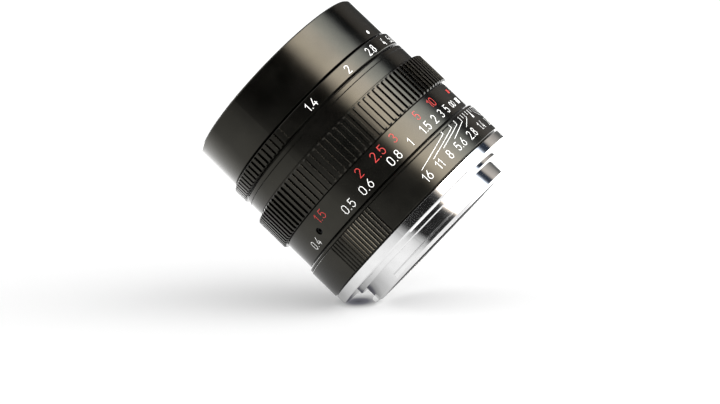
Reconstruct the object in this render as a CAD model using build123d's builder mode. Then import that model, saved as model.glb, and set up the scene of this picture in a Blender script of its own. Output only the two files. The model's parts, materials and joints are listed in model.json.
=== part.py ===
from build123d import *
import math
import os

# Prime lens for a mirrorless camera, 35 mm f/1.4 class, set to infinity and about f/4.
# Origin: centre of the mount's seating face. +Z runs along the optical axis to the front,
# +Y points at the index line on top of the lens. Angles are degrees from +X towards +Y.
# All sizes are in millimetres.

# ---- driving dimensions -------------------------------------------------------------------

RUN = 0.05                # radial clearance of a running fit
SEAT_GAP = 0.05           # gap left between two seated pieces of one body
FACE_GAP = 0.02           # gap left between two faces that are screwed together
HOLE_PLAY = 0.03          # radial play of a screw in its hole
BREAK = 0.2               # broken edge of a turned piece

# heights of the outside
FRONT_Z = 54.3            # front rim
FRONT_BARREL_Z = 41.54    # rear edge of the front barrel
APERTURE_Z = (37.09, 41.06)
FRONT_RING_Z = (35.35, 36.45)
FRONT_SLEEVE_Z = (31.5, 35.15)
GRIP_Z = (21.12, 31.5)
GRIP_RIB_Z = (21.34, 30.95)
SCALE_Z = (12.8, 21.12)
REAR_BARREL_Z = (3.14, 12.3)
FLANGE_Z = 2.83           # front face of the mount's flange
PILOT_Z = -1.4
CLAW_Z = (-5.6, -4.05)
MOUNT_END_Z = -6.1

# radii of the outside
FRONT_BARREL_R = 27.7
APERTURE_R = 28.4
APERTURE_KNURL_R = 28.7
FRONT_SLEEVE_R = 28.5
GRIP_R = 30.3
GRIP_ROOT_R = 29.8
SCALE_R = 29.2
REAR_BARREL_R = 30.15
FLANGE_R = 30.0
PILOT_R = 25.0
BAYONET_R = 23.1
CLAW_R = 24.25
THROAT_R = 20.8
CLAW_ARCS = ((-14.6, 62.1), (129.5, 186.5), (-128.4, -58.4))
CLAW_ROOT = 0.6           # how deep a claw is rooted in the spigot
CLAW_FLARE = 1.5          # a claw's ends slope: its root is this much longer at each end
CLAW_EDGES = (0.25, 0.4)  # bevels of the claws' rear and front edges

# focusing
FOCUS_TURN = 118.05       # travel of the focus ring
FOCUS_TRAVEL = 3.84       # forward travel of the optics over that turn
NUT_R = 27.4              # outside of the helicoid nut
NUT_FLANGE_R = 28.2
NUT_BORE_R = 26.0
NUT_Z = (6.0, 36.0)
NUT_FLANGE_TOP_Z = 10.7
BARREL_OUT_R = NUT_BORE_R - RUN
BARREL_IN_R = 24.2
INNER_BARREL_Z = (6.5, 41.2)
STOP_PIN_ANGLE = 200.0
STOP_PIN_R = 0.45
STOP_CIRCLE_R = 27.2
KEY_ANGLES = (0.0, 180.0)
KEY_W = 3.9

# aperture
OPEN_TURN = 60.2          # ring travel from rest to f/1.4
CLOSE_TURN = 37.5         # ring travel from rest to f/16
BLADES = 8
PIVOT_CIRCLE_R = 17.0
BLADE_IN_R = 10.3         # inner edge of the blade's arc, wide open
BLADE_OUT_R = 14.6
BLADE_ARC = (-4.0, 145.0)
BLADE_SWING = 32.2        # swing of a blade from f/1.4 to f/16
BLADE_PER_RING = BLADE_SWING / (OPEN_TURN + CLOSE_TURN)
BLADE_REST = BLADE_PER_RING * OPEN_TURN
LEVER_L = 8.0
LEVER_ANGLE = 73.9        # lever's direction in the blade's own frame
PIVOT_PIN_R = 0.4
DRIVE_PIN_R = 0.3
PIN_CLEARANCE = 0.06
PLATE_Z = (29.2, 30.0)
BLADE_Z = 30.1
BLADE_T = 0.1
BLADE_STEP = 0.15
CAM_Z = (31.35, 32.15)
LINK_Z = 39.0
LINK_ANGLE = 200.0
LINK_R = 0.8

# optics
REAR_GLASS_R = 14.5
FRONT_SPACER_IN_R = 15.8
REAR_SPACER_IN_R = 13.2
THIN_SPACER_IN_R = 13.4


# ---- helpers ------------------------------------------------------------------------------

def profile(outline):
    """A closed half section, given as (radius, height) corners."""
    with BuildSketch(Plane.XZ) as section:
        with BuildLine():
            Polyline(*outline, close=True)
        make_face()
    return section.sketch


def band(inner, outer, heights):
    """The half section of a plain ring."""
    low, high = heights
    return profile([(inner, low), (outer, low), (outer, high), (inner, high)])


def sector(height, inner, outer, start, end, flare=0.0):
    """A flat piece of a ring between two angles; flare widens its root by that angle at each end."""
    with BuildSketch(Plane.XY.offset(height)) as patch:
        with BuildLine():
            far = CenterArc((0, 0), outer, start, end - start)
            near = CenterArc((0, 0), inner, start - flare, end - start + 2 * flare)
            Line(far @ 0, near @ 0)
            Line(far @ 1, near @ 1)
        make_face()
    return patch.sketch


def groove_marks(height, radius, walls, first, pitch, count):
    """Straight knurl grooves to be cut; walls lists (depth, half width) from the mouth to the root."""
    mouth = walls[0][1]
    left = [(-depth, -half) for depth, half in walls]
    right = [(-depth, half) for depth, half in reversed(walls)]
    outline = [(1, -mouth)] + left + right + [(1, mouth)]
    with BuildSketch(Plane.XY.offset(height)) as marks:
        with PolarLocations(radius, count, start_angle=first, angular_range=pitch * count):
            Polygon(*outline, align=None)
    return marks.sketch


def axial_plane(radius, angle, height):
    """A plane across +Z on a circle, with its x axis pointing outwards."""
    turn = math.radians(angle)
    outward = (math.cos(turn), math.sin(turn), 0)
    return Plane(origin=(radius * outward[0], radius * outward[1], height), x_dir=outward, z_dir=(0, 0, 1))


def radial_plane(radius, angle, height):
    """A plane that looks outwards from the optical axis."""
    turn = math.radians(angle)
    outward = (math.cos(turn), math.sin(turn), 0)
    return Plane(origin=(radius * outward[0], radius * outward[1], height), x_dir=(0, 0, 1), z_dir=outward)


def disc(plane, radius):
    with BuildSketch(plane) as spot:
        Circle(radius)
    return spot.sketch


def write(piece, label):
    piece.part.label = label
    export_step(piece.part, f"parts/{label}.step")


def countersunk_screw(plane, head_r, shank_r, head_h, length):
    """A flat head flush with the plane; the screw runs against the plane's normal."""
    with BuildPart() as screw:
        with BuildSketch(plane):
            Circle(head_r)
        with BuildSketch(plane.offset(-head_h)):
            Circle(shank_r)
        loft()
        extrude(disc(plane.offset(-head_h), shank_r), amount=-(length - head_h))
        with BuildSketch(plane):
            Rectangle(1.7 * head_r, 0.3 * shank_r)
            Rectangle(0.3 * shank_r, 1.7 * head_r)
        extrude(amount=-0.4 * head_h, mode=Mode.SUBTRACT)
    return screw.part


def pan_screw(plane, head_r, shank_r, head_h, length):
    """A flat-topped cylinder head standing on the plane, with its shank below it."""
    with BuildPart() as screw:
        extrude(disc(plane, head_r), amount=head_h)
        extrude(disc(plane, shank_r), amount=-length)
        with BuildSketch(plane.offset(head_h)):
            Rectangle(2 * head_r, 0.3)
        extrude(amount=-0.4 * head_h, mode=Mode.SUBTRACT)
    return screw.part


os.makedirs("parts", exist_ok=True)

# ---- fixed body: the mount and the rear barrel ------------------------------------------------

MOUNT_SCREW_CIRCLE = 27.0
MOUNT_SCREW_ANGLES = (40.0, 112.0, 184.0, 256.0, 328.0)
MOUNT_HEAD_R = 1.6
MOUNT_SHANK_R = 0.85
MOUNT_HEAD_H = 1.0
MOUNT_SCREW_L = 4.6
FLANGE_EDGE = 0.3         # broken rear edge of the flange
SPIGOT_TAPER = (0.8, 0.5) # lead-in at the rear end of the spigot
BOSS_R = 28.2             # the flange's register inside the rear barrel
BOSS_Z = 5.2
LOCK_HOLE_R = 1.5
LOCK_HOLE_CIRCLE = 27.5
LOCK_HOLE_DEPTH = 1.8
LOCK_HOLE_ANGLE = 205.0

with BuildPart() as mount_flange:
    revolve(
        profile(
            [
                (THROAT_R, MOUNT_END_Z),
                (BAYONET_R - SPIGOT_TAPER[0], MOUNT_END_Z),
                (BAYONET_R, MOUNT_END_Z + SPIGOT_TAPER[1]),
                (BAYONET_R, PILOT_Z),
                (PILOT_R - BREAK, PILOT_Z),
                (PILOT_R, PILOT_Z + BREAK),
                (PILOT_R, 0),
                (FLANGE_R - FLANGE_EDGE, 0),
                (FLANGE_R, FLANGE_EDGE),
                (FLANGE_R, FLANGE_Z - BREAK),
                (FLANGE_R - BREAK, FLANGE_Z),
                (BOSS_R, FLANGE_Z),
                (BOSS_R, BOSS_Z),
                (THROAT_R, BOSS_Z),
            ]
        ),
        axis=Axis.Z,
    )
    for start, end in CLAW_ARCS:
        claw = sector(CLAW_Z[0], BAYONET_R - CLAW_ROOT, CLAW_R, start, end, CLAW_FLARE)
        extrude(claw, amount=CLAW_Z[1] - CLAW_Z[0])
    for edge, size, way in zip(CLAW_Z, CLAW_EDGES, (1, -1)):
        inside = edge + size * way
        bevel = [(CLAW_R - size, edge), (CLAW_R + 1, edge), (CLAW_R + 1, inside), (CLAW_R, inside)]
        revolve(profile(bevel), axis=Axis.Z, mode=Mode.SUBTRACT)
    for angle in MOUNT_SCREW_ANGLES:
        seat = axial_plane(MOUNT_SCREW_CIRCLE, angle, 0)
        down = Plane(origin=seat.origin, x_dir=seat.x_dir, z_dir=(0, 0, -1))
        with BuildSketch(down):
            Circle(MOUNT_HEAD_R + SEAT_GAP)
        with BuildSketch(down.offset(-MOUNT_HEAD_H)):
            Circle(MOUNT_SHANK_R + SEAT_GAP)
        loft(mode=Mode.SUBTRACT)
        extrude(disc(down, MOUNT_SHANK_R + SEAT_GAP), amount=-BOSS_Z - 1, mode=Mode.SUBTRACT)
    lock_plane = axial_plane(LOCK_HOLE_CIRCLE, LOCK_HOLE_ANGLE, 0)
    extrude(disc(lock_plane, LOCK_HOLE_R), amount=LOCK_HOLE_DEPTH, mode=Mode.SUBTRACT)
write(mount_flange, "mount_flange")

with BuildPart() as mount_screws:
    for angle in MOUNT_SCREW_ANGLES:
        seat = axial_plane(MOUNT_SCREW_CIRCLE, angle, 0)
        down = Plane(origin=seat.origin, x_dir=seat.x_dir, z_dir=(0, 0, -1))
        add(countersunk_screw(down, MOUNT_HEAD_R, MOUNT_SHANK_R, MOUNT_HEAD_H, MOUNT_SCREW_L))
write(mount_screws, "mount_screws")

REAR_KNURL_PITCH = 2.15
REAR_KNURL_COUNT = 15
REAR_KNURL_MID = -5.2     # middle of the knurled patch; its twin mirrors it about +Y
REAR_KNURL_WALLS = ((0, 0.29), (0.31, 0.03))
REAR_FOOT_R = 29.5        # recess between the barrel and the flange
REAR_LAND_R = 29.95       # land in front of the barrel's fine groove
REAR_GROOVE_Z = (11.45, 11.7)
REAR_GROOVE_R = 29.6

with BuildPart() as rear_barrel:
    revolve(
        profile(
            [
                (BOSS_R + SEAT_GAP, FLANGE_Z + FACE_GAP),
                (REAR_FOOT_R, FLANGE_Z + FACE_GAP),
                (REAR_FOOT_R, REAR_BARREL_Z[0]),
                (REAR_BARREL_R - BREAK / 2, REAR_BARREL_Z[0]),
                (REAR_BARREL_R, REAR_BARREL_Z[0] + BREAK / 2),
                (REAR_BARREL_R, REAR_GROOVE_Z[0] - BREAK / 2),
                (REAR_BARREL_R - BREAK / 2, REAR_GROOVE_Z[0]),
                (REAR_GROOVE_R, REAR_GROOVE_Z[0]),
                (REAR_GROOVE_R, REAR_GROOVE_Z[1]),
                (REAR_LAND_R, REAR_GROOVE_Z[1]),
                (REAR_LAND_R, REAR_BARREL_Z[1] - BREAK / 2),
                (REAR_LAND_R - BREAK / 2, REAR_BARREL_Z[1]),
                (NUT_R + RUN, REAR_BARREL_Z[1]),
                (NUT_R + RUN, NUT_FLANGE_TOP_Z + RUN),
                (BOSS_R + SEAT_GAP, NUT_FLANGE_TOP_Z + RUN),
            ]
        ),
        axis=Axis.Z,
    )
    for middle in (REAR_KNURL_MID, 180 - REAR_KNURL_MID):
        first = middle - REAR_KNURL_PITCH * (REAR_KNURL_COUNT - 1) / 2
        cuts = groove_marks(
            REAR_BARREL_Z[0], REAR_BARREL_R, REAR_KNURL_WALLS, first, REAR_KNURL_PITCH, REAR_KNURL_COUNT
        )
        extrude(cuts, amount=REAR_GROOVE_Z[0] - REAR_BARREL_Z[0], mode=Mode.SUBTRACT)
write(rear_barrel, "rear_barrel")

BEARING_Z = (5.25, 5.95)
BEARING_IN_R = 26.2
STOP_PIN_L = 3.0

with BuildPart() as bearing_ring:
    revolve(band(BEARING_IN_R, NUT_FLANGE_R, BEARING_Z), axis=Axis.Z)
    pin_plane = axial_plane(STOP_CIRCLE_R, STOP_PIN_ANGLE, BEARING_Z[0])
    extrude(disc(pin_plane, STOP_PIN_R + FACE_GAP), amount=2, mode=Mode.SUBTRACT)
write(bearing_ring, "bearing_ring")

with BuildPart() as focus_stop_pin:
    extrude(disc(pin_plane, STOP_PIN_R), amount=STOP_PIN_L)
write(focus_stop_pin, "focus_stop_pin")

KEY_ENGAGED = 3.66        # length of key left in its slot at the closest focus
KEY_TOP_Z = INNER_BARREL_Z[0] + FOCUS_TRAVEL + KEY_ENGAGED
KEY_FOOT_Z = (BOSS_Z + FACE_GAP, 6.3)
KEY_FOOT_W = 8.0
KEY_FOOT_R = (21.0, 25.85)
KEY_BAR_R = (24.3, 25.85)
KEY_SCREW_R = 0.8
KEY_SCREW_CIRCLE = 22.6
KEY_HEAD_R = 1.4
KEY_HEAD_H = 0.9

with BuildPart() as guide_keys:
    for angle in KEY_ANGLES:
        with BuildSketch(axial_plane(sum(KEY_FOOT_R) / 2, angle, KEY_FOOT_Z[0])):
            Rectangle(KEY_FOOT_R[1] - KEY_FOOT_R[0], KEY_FOOT_W)
        extrude(amount=KEY_FOOT_Z[1] - KEY_FOOT_Z[0])
        with BuildSketch(axial_plane(sum(KEY_BAR_R) / 2, angle, KEY_FOOT_Z[0])):
            Rectangle(KEY_BAR_R[1] - KEY_BAR_R[0], KEY_W)
        extrude(amount=KEY_TOP_Z - KEY_FOOT_Z[0])
        hole = disc(axial_plane(KEY_SCREW_CIRCLE, angle, 0), KEY_SCREW_R + SEAT_GAP)
        extrude(hole, amount=20, mode=Mode.SUBTRACT)
    # the foot's corners are rounded to the bore that they stand in
    revolve(band(KEY_FOOT_R[1], 40, (0, 20)), axis=Axis.Z, mode=Mode.SUBTRACT)
write(guide_keys, "guide_keys")

with BuildPart() as key_screws:
    for angle in KEY_ANGLES:
        seat = axial_plane(KEY_SCREW_CIRCLE, angle, KEY_FOOT_Z[1] + FACE_GAP / 2)
        add(pan_screw(seat, KEY_HEAD_R, KEY_SCREW_R, KEY_HEAD_H, KEY_FOOT_Z[1] - BOSS_Z))
write(key_screws, "key_screws")

BAFFLE_Z = (-5.9, -4.7)
BAFFLE_IN_R = 15.6
BAFFLE_WALL = 0.85        # thickness of its tube
BAFFLE_TOP_Z = 2.0
BAFFLE_EDGE = (0.6, 0.3)

with BuildPart() as rear_baffle:
    revolve(
        profile(
            [
                (BAFFLE_IN_R, BAFFLE_Z[0] + BAFFLE_EDGE[1]),
                (BAFFLE_IN_R + BAFFLE_EDGE[0], BAFFLE_Z[0]),
                (THROAT_R - SEAT_GAP, BAFFLE_Z[0]),
                (THROAT_R - SEAT_GAP, BAFFLE_TOP_Z),
                (THROAT_R - SEAT_GAP - BAFFLE_WALL, BAFFLE_TOP_Z),
                (THROAT_R - SEAT_GAP - BAFFLE_WALL, BAFFLE_Z[1]),
                (BAFFLE_IN_R, BAFFLE_Z[1]),
            ]
        ),
        axis=Axis.Z,
    )
write(rear_baffle, "rear_baffle")

# ---- focusing body: the helicoid nut and the rings on it ---------------------------------------

STOP_SLOT_HALF_W = STOP_PIN_R + 0.1
STOP_SLOT_DEPTH = 2.6
STOP_SLOT_END = math.degrees(STOP_PIN_R / STOP_CIRCLE_R) + 0.3

with BuildPart() as focus_helicoid:
    revolve(
        profile(
            [
                (NUT_BORE_R, NUT_Z[0]),
                (NUT_FLANGE_R, NUT_Z[0]),
                (NUT_FLANGE_R, NUT_FLANGE_TOP_Z),
                (NUT_R, NUT_FLANGE_TOP_Z),
                (NUT_R, NUT_Z[1]),
                (NUT_BORE_R, NUT_Z[1]),
            ]
        ),
        axis=Axis.Z,
    )
    stop_slot = sector(
        NUT_Z[0], STOP_CIRCLE_R - STOP_SLOT_HALF_W, STOP_CIRCLE_R + STOP_SLOT_HALF_W,
        STOP_PIN_ANGLE - FOCUS_TURN - STOP_SLOT_END, STOP_PIN_ANGLE + STOP_SLOT_END,
    )
    extrude(stop_slot, amount=STOP_SLOT_DEPTH, mode=Mode.SUBTRACT)
write(focus_helicoid, "focus_helicoid")

RING_IN_R = NUT_R + FACE_GAP
SKIRT_R = 27.9            # the sleeve's inner lip, which closes the gap behind it
SKIRT_Z = REAR_BARREL_Z[1] + 0.09
GRUB_Z = 16.5
GRUB_ANGLES = (-19.6, 160.4)
GRUB_R = 0.9
GRUB_L = 1.35
GRUB_HEX_R = 0.5
GRUB_HEX_DEPTH = 0.6
GRUB_PLAY = 0.08

with BuildPart() as distance_sleeve:
    revolve(
        profile(
            [
                (RING_IN_R, SKIRT_Z),
                (SKIRT_R, SKIRT_Z),
                (SKIRT_R, SCALE_Z[0]),
                (SCALE_R - BREAK / 2, SCALE_Z[0]),
                (SCALE_R, SCALE_Z[0] + BREAK / 2),
                (SCALE_R, SCALE_Z[1] - FACE_GAP),
                (RING_IN_R, SCALE_Z[1] - FACE_GAP),
            ]
        ),
        axis=Axis.Z,
    )
    for angle in GRUB_ANGLES:
        extrude(disc(radial_plane(20, angle, GRUB_Z), GRUB_R + GRUB_PLAY), amount=15, mode=Mode.SUBTRACT)
write(distance_sleeve, "distance_sleeve")

with BuildPart() as sleeve_grub_screws:
    for angle in GRUB_ANGLES:
        extrude(disc(radial_plane(RING_IN_R, angle, GRUB_Z), GRUB_R), amount=GRUB_L)
        with BuildSketch(radial_plane(RING_IN_R + GRUB_L - GRUB_HEX_DEPTH, angle, GRUB_Z)):
            RegularPolygon(GRUB_HEX_R, 6)
        extrude(amount=1.0, mode=Mode.SUBTRACT)
write(sleeve_grub_screws, "sleeve_grub_screws")

GRIP_RIBS = 105
GRIP_WALLS = ((0, 0.56), (0.04, 0.53), (GRIP_R - GRIP_ROOT_R, 0.53))
GRIP_FIRST_GROOVE = 64.7
GRIP_BEVEL = 0.4
GRIP_NECK_R = 28.3        # the ring's narrow ends beyond its ribs

with BuildPart() as grip_ring:
    revolve(
        profile(
            [
                (RING_IN_R, GRIP_Z[0]),
                (GRIP_NECK_R, GRIP_Z[0]),
                (GRIP_NECK_R, GRIP_RIB_Z[0]),
                (GRIP_R - GRIP_BEVEL, GRIP_RIB_Z[0]),
                (GRIP_R, GRIP_RIB_Z[0] + GRIP_BEVEL),
                (GRIP_R, GRIP_RIB_Z[1] - GRIP_BEVEL),
                (GRIP_R - GRIP_BEVEL, GRIP_RIB_Z[1]),
                (GRIP_NECK_R, GRIP_RIB_Z[1]),
                (GRIP_NECK_R, GRIP_Z[1]),
                (RING_IN_R, GRIP_Z[1]),
            ]
        ),
        axis=Axis.Z,
    )
    cuts = groove_marks(GRIP_Z[0], GRIP_R, GRIP_WALLS, GRIP_FIRST_GROOVE, 360 / GRIP_RIBS, GRIP_RIBS)
    extrude(cuts, amount=GRIP_Z[1] - GRIP_Z[0], mode=Mode.SUBTRACT)
write(grip_ring, "grip_ring")

with BuildPart() as focus_front_sleeve:
    revolve(
        band(RING_IN_R, FRONT_SLEEVE_R, (FRONT_SLEEVE_Z[0] + FACE_GAP, FRONT_SLEEVE_Z[1])), axis=Axis.Z
    )
write(focus_front_sleeve, "focus_front_sleeve")

RING_STEP = 0.35          # depth of the groove behind the front ring
RING_BEVEL = 0.12

with BuildPart() as focus_front_ring:
    revolve(
        profile(
            [
                (RING_IN_R, FRONT_SLEEVE_Z[1] + FACE_GAP / 2),
                (FRONT_SLEEVE_R - RING_STEP, FRONT_SLEEVE_Z[1] + FACE_GAP / 2),
                (FRONT_SLEEVE_R - RING_STEP, FRONT_RING_Z[0]),
                (FRONT_SLEEVE_R, FRONT_RING_Z[0]),
                (FRONT_SLEEVE_R, FRONT_RING_Z[1] - RING_BEVEL),
                (FRONT_SLEEVE_R - RING_BEVEL, FRONT_RING_Z[1]),
                (RING_IN_R, FRONT_RING_Z[1]),
            ]
        ),
        axis=Axis.Z,
    )
write(focus_front_ring, "focus_front_ring")

# ---- sliding body: barrel, cells and glass ------------------------------------------------------

SHOULDER_Z = (27.4, 28.6)
SHOULDER_IN_R = 22.4
APERTURE_SHOULDER_Z = (36.5, 37.0)
APERTURE_SHOULDER_R = 26.6
SET_SCREW_ANGLES = (60.0, 180.0, 300.0)
SET_SCREW_Z = 30.9
SET_SCREW_R = 0.8
SET_SCREW_L = 2.2
SET_SCREW_SLOT = (0.25, 0.35)
DIMPLE_DEPTH = 0.5        # how far a set screw reaches into the iris housing
KEY_END_GAP = 0.6
LINK_SLOT_MARGIN = math.degrees(LINK_R / BARREL_IN_R) + 0.3

with BuildPart() as inner_barrel:
    revolve(
        profile(
            [
                (BARREL_IN_R, INNER_BARREL_Z[0]),
                (BARREL_OUT_R, INNER_BARREL_Z[0]),
                (BARREL_OUT_R, APERTURE_SHOULDER_Z[0]),
                (APERTURE_SHOULDER_R, APERTURE_SHOULDER_Z[0]),
                (APERTURE_SHOULDER_R, APERTURE_SHOULDER_Z[1]),
                (BARREL_OUT_R, APERTURE_SHOULDER_Z[1]),
                (BARREL_OUT_R, INNER_BARREL_Z[1]),
                (BARREL_IN_R, INNER_BARREL_Z[1]),
                (BARREL_IN_R, SHOULDER_Z[1]),
                (SHOULDER_IN_R, SHOULDER_Z[1]),
                (SHOULDER_IN_R, SHOULDER_Z[0]),
                (BARREL_IN_R, SHOULDER_Z[0]),
            ]
        ),
        axis=Axis.Z,
    )
    for angle in KEY_ANGLES:
        with BuildSketch(axial_plane(NUT_BORE_R, angle, INNER_BARREL_Z[0] - 1)):
            Rectangle(8, KEY_W + 2 * RUN)
        extrude(amount=KEY_TOP_Z + KEY_END_GAP - INNER_BARREL_Z[0] + 1, mode=Mode.SUBTRACT)
    link_slot = sector(
        LINK_Z - LINK_R - RUN, BARREL_IN_R - 1, BARREL_OUT_R + 1,
        LINK_ANGLE - CLOSE_TURN - LINK_SLOT_MARGIN, LINK_ANGLE + OPEN_TURN + LINK_SLOT_MARGIN,
    )
    extrude(link_slot, amount=2 * (LINK_R + RUN), mode=Mode.SUBTRACT)
    for angle in SET_SCREW_ANGLES:
        hole = disc(radial_plane(20, angle, SET_SCREW_Z), SET_SCREW_R + HOLE_PLAY)
        extrude(hole, amount=10, mode=Mode.SUBTRACT)
write(inner_barrel, "inner_barrel")

FRONT_CELL_Z = (33.0, 49.0)
FRONT_CELL_FLANGE_Z = (INNER_BARREL_Z[1] + FACE_GAP, 43.0)
FRONT_CELL_R = 21.5
COLLAR_R = 22.6           # the part of the front cell ahead of its flange
LIP_R = 14.8              # its rear lip, which holds lens_3
LIP_T = 0.55
LENS_1_SEAT_Z = (42.5, 45.5)
LENS_2_SEAT_Z = (38.1, 41.8)
RETAINER_BORE = 0.6       # the retainer's bore is this much wider than lens_1
CELL_SCREW_ANGLES = (90.0, 210.0, 330.0)
CELL_SCREW_CIRCLE = 25.05
CELL_SCREW_R = 0.6
CELL_HEAD_R = 1.05
CELL_HEAD_H = 0.8
FRONT_GLASS = {"lens_1": 19.6, "lens_2": 17.0, "lens_3": 16.2}

with BuildPart() as front_cell:
    revolve(
        profile(
            [
                (LIP_R, FRONT_CELL_Z[0]),
                (FRONT_CELL_R, FRONT_CELL_Z[0]),
                (FRONT_CELL_R, FRONT_CELL_FLANGE_Z[0]),
                (BARREL_OUT_R, FRONT_CELL_FLANGE_Z[0]),
                (BARREL_OUT_R, FRONT_CELL_FLANGE_Z[1]),
                (COLLAR_R, FRONT_CELL_FLANGE_Z[1]),
                (COLLAR_R, FRONT_CELL_Z[1]),
                (FRONT_GLASS["lens_1"] + RETAINER_BORE, FRONT_CELL_Z[1]),
                (FRONT_GLASS["lens_1"] + RETAINER_BORE, LENS_1_SEAT_Z[1]),
                (FRONT_GLASS["lens_1"] + SEAT_GAP, LENS_1_SEAT_Z[1]),
                (FRONT_GLASS["lens_1"] + SEAT_GAP, LENS_1_SEAT_Z[0]),
                (FRONT_GLASS["lens_1"] - 1.0, LENS_1_SEAT_Z[0]),
                (FRONT_GLASS["lens_1"] - 1.0, LENS_2_SEAT_Z[1]),
                (FRONT_GLASS["lens_2"] + SEAT_GAP, LENS_2_SEAT_Z[1]),
                (FRONT_GLASS["lens_2"] + SEAT_GAP, LENS_2_SEAT_Z[0]),
                (FRONT_GLASS["lens_3"] + SEAT_GAP, LENS_2_SEAT_Z[0]),
                (FRONT_GLASS["lens_3"] + SEAT_GAP, FRONT_CELL_Z[0] + LIP_T),
                (LIP_R, FRONT_CELL_Z[0] + LIP_T),
            ]
        ),
        axis=Axis.Z,
    )
    for angle in CELL_SCREW_ANGLES:
        hole = disc(axial_plane(CELL_SCREW_CIRCLE, angle, 40), CELL_SCREW_R + HOLE_PLAY)
        extrude(hole, amount=10, mode=Mode.SUBTRACT)
write(front_cell, "front_cell")

FILTER_R = 26.0           # major radius of the M52 filter thread
FILTER_BOTTOM_Z = 50.6
FILTER_MOUTH = 0.5
FRONT_RIM_EDGE = 0.35
FRONT_BORE_R = 25.2
RELIEF_R = 26.2           # a wider stretch of bore, clear of the screw heads
RELIEF_TOP_Z = 46.0
WEB_Z = (FRONT_CELL_FLANGE_Z[1] + FACE_GAP, 44.4)
WEB_IN_R = COLLAR_R + 0.1

with BuildPart() as front_barrel:
    revolve(
        profile(
            [
                (BARREL_OUT_R + FACE_GAP, FRONT_BARREL_Z),
                (FRONT_BARREL_R - BREAK, FRONT_BARREL_Z),
                (FRONT_BARREL_R, FRONT_BARREL_Z + BREAK),
                (FRONT_BARREL_R, FRONT_Z - FRONT_RIM_EDGE),
                (FRONT_BARREL_R - FRONT_RIM_EDGE, FRONT_Z),
                (FILTER_R + FILTER_MOUTH, FRONT_Z),
                (FILTER_R, FRONT_Z - FILTER_MOUTH),
                (FILTER_R, FILTER_BOTTOM_Z),
                (FRONT_BORE_R, FILTER_BOTTOM_Z),
                (FRONT_BORE_R, RELIEF_TOP_Z),
                (RELIEF_R, RELIEF_TOP_Z),
                (RELIEF_R, WEB_Z[1]),
                (WEB_IN_R, WEB_Z[1]),
                (WEB_IN_R, WEB_Z[0]),
                (BARREL_OUT_R + FACE_GAP, WEB_Z[0]),
            ]
        ),
        axis=Axis.Z,
    )
    for angle in CELL_SCREW_ANGLES:
        hole = disc(axial_plane(CELL_SCREW_CIRCLE, angle, 42), CELL_SCREW_R + HOLE_PLAY)
        extrude(hole, amount=2.5, mode=Mode.SUBTRACT)
write(front_barrel, "front_barrel")

with BuildPart() as front_barrel_screws:
    for angle in CELL_SCREW_ANGLES:
        seat = axial_plane(CELL_SCREW_CIRCLE, angle, WEB_Z[1] + FACE_GAP)
        add(pan_screw(seat, CELL_HEAD_R, CELL_SCREW_R, CELL_HEAD_H, WEB_Z[1] - INNER_BARREL_Z[1]))
write(front_barrel_screws, "front_barrel_screws")

TRIM_IN_R = 20.3
TRIM_T = 0.6              # thickness at its inner edge
TRIM_FOOT_Z = 48.0        # rear end of the skirt that screws into the barrel
TRIM_TOP_Z = FILTER_BOTTOM_Z - 0.08
TRIM_LAND = 0.7           # flat rim around the cone

with BuildPart() as trim_ring:
    revolve(
        profile(
            [
                (TRIM_IN_R, FRONT_CELL_Z[1] + SEAT_GAP),
                (WEB_IN_R, FRONT_CELL_Z[1] + SEAT_GAP),
                (WEB_IN_R, TRIM_FOOT_Z),
                (FRONT_BORE_R - SEAT_GAP, TRIM_FOOT_Z),
                (FRONT_BORE_R - SEAT_GAP, TRIM_TOP_Z),
                (FRONT_BORE_R - SEAT_GAP - TRIM_LAND, TRIM_TOP_Z),
                (TRIM_IN_R, FRONT_CELL_Z[1] + SEAT_GAP + TRIM_T),
            ]
        ),
        axis=Axis.Z,
    )
write(trim_ring, "trim_ring")


def sphere_z(centre_z, edge_z, edge_r, radius):
    """The height of a spherical face at a radius, from its heights at the axis and the rim."""
    sag = edge_z - centre_z
    ball = (edge_r ** 2 + sag ** 2) / (2 * sag)
    return centre_z + ball - math.copysign(math.sqrt(ball ** 2 - radius ** 2), ball)


def arc_between(centre_z, edge_z, edge_r):
    """A spherical face's half section, from the axis to the rim."""
    half = edge_r / 2
    return (0, centre_z), (half, sphere_z(centre_z, edge_z, edge_r, half)), (edge_r, edge_z)


def spacer_section(inner, rear_glass, front_glass):
    """A ring that fills the gap between two elements' rims, with cone seats against their faces."""
    rim = GLASS[rear_glass][0]
    below = GLASS[rear_glass][1:3]
    above = GLASS[front_glass][3:5]
    low = sphere_z(*below, rim, inner) + SEAT_GAP
    high = sphere_z(*above, GLASS[front_glass][0], inner) - SEAT_GAP
    high_rim = sphere_z(*above, GLASS[front_glass][0], rim) - SEAT_GAP
    return profile([(inner, low), (rim, below[1] + SEAT_GAP), (rim, high_rim), (inner, high)])


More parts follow.
